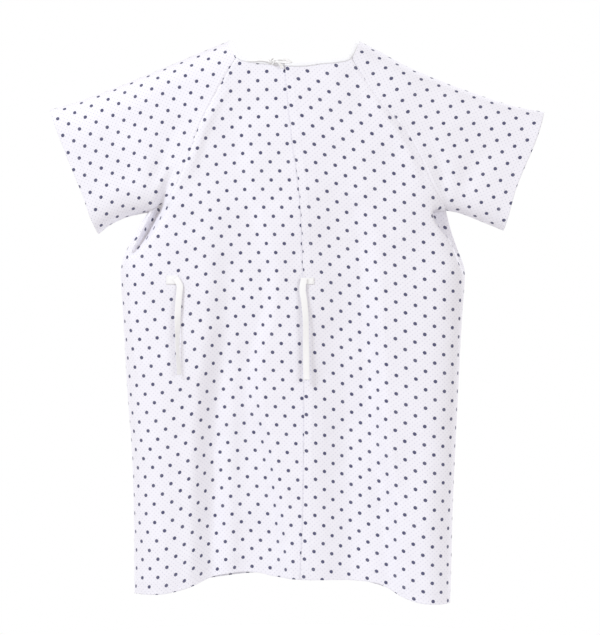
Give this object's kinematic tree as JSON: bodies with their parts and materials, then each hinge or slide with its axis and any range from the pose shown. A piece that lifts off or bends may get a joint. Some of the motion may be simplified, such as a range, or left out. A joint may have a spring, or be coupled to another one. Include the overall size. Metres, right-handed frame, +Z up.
{
  "type": "patient gown",
  "caption": "Short-sleeved hospital patient gown with raglan sleeves, an overlapping back opening, a knotted neck tie, two waist ties and a small scattered print.",
  "frame": {"origin": "top of the shoulders, midway between the two neck corners, in the plane of the side and shoulder folds", "axes": "+Z up, +X towards the gown's right side, +Y towards its front, so the back opening faces -Y"},
  "size_m": [1.0284, 0.136, 1.171],
  "materials": {
    "printed_cloth": "matt woven cotton and polyester with a small dark blue print",
    "plain_cloth": "matt woven tape and thread, off-white"
  },
  "bodies": {
    "yoke": {"front_panel": "printed_cloth", "front_hem": "plain_cloth", "right_back_panel_upper": "printed_cloth", "left_back_panel_upper": "printed_cloth", "right_edge_facing_upper": "plain_cloth", "left_edge_facing_upper": "plain_cloth", "right_sleeve_upper": "printed_cloth", "left_sleeve_upper": "printed_cloth", "right_back_raglan_seam": "plain_cloth", "right_front_raglan_seam": "plain_cloth", "left_back_raglan_seam": "plain_cloth", "left_front_raglan_seam": "plain_cloth", "right_side_seam": "plain_cloth", "left_side_seam": "plain_cloth", "neck_binding": "plain_cloth", "neck_tie_knot": "plain_cloth", "right_neck_tie_end": "plain_cloth", "left_neck_tie_end": "plain_cloth"},
    "right_back_flap": {"right_back_panel_lower": "printed_cloth", "right_edge_facing_lower": "plain_cloth", "right_back_hem": "plain_cloth", "right_waist_tie_tack": "plain_cloth"},
    "left_back_flap": {"left_back_panel_lower": "printed_cloth", "left_edge_facing_lower": "plain_cloth", "left_back_hem": "plain_cloth", "left_waist_tie_tack": "plain_cloth"},
    "right_waist_tie_body": {"right_waist_tie": "plain_cloth"},
    "left_waist_tie_body": {"left_waist_tie": "plain_cloth"},
    "right_sleeve": {"right_sleeve_lower": "printed_cloth", "right_sleeve_hem": "plain_cloth", "right_underarm_seam": "plain_cloth"},
    "left_sleeve": {"left_sleeve_lower": "printed_cloth", "left_sleeve_hem": "plain_cloth", "left_underarm_seam": "plain_cloth"}
  },
  "joints": [
    {"name": "right_back_opens", "type": "hinge", "parent": "yoke", "child": "right_back_flap", "pos_m": [0.3565, 0, -0.492], "axis": [0.0405, 0, 0.9992], "range_deg": [0, 40]},
    {"name": "left_back_opens", "type": "hinge", "parent": "yoke", "child": "left_back_flap", "pos_m": [-0.3565, 0, -0.492], "axis": [0.0405, 0, -0.9992], "range_deg": [0, 12]},
    {"name": "right_waist_tie_swings", "type": "hinge", "parent": "right_back_flap", "child": "right_waist_tie_body", "pos_m": [0.021, -0.0637, -0.495], "axis": [0, -1, 0], "range_deg": [-90, 90]},
    {"name": "left_waist_tie_swings", "type": "hinge", "parent": "left_back_flap", "child": "left_waist_tie_body", "pos_m": [-0.239, -0.0587, -0.495], "axis": [0, -1, 0], "range_deg": [-90, 90]},
    {"name": "right_sleeve_swings", "type": "hinge", "parent": "yoke", "child": "right_sleeve", "pos_m": [0.33, 0, -0.226], "axis": [0, 0, 1], "range_deg": [-18, 18]},
    {"name": "left_sleeve_swings", "type": "hinge", "parent": "yoke", "child": "left_sleeve", "pos_m": [-0.33, 0, -0.226], "axis": [0, 0, -1], "range_deg": [-18, 18]}
  ],
  "couplings": [
    {"joint": "left_back_opens", "follows": "right_back_opens", "ratio": 0.3}
  ]
}
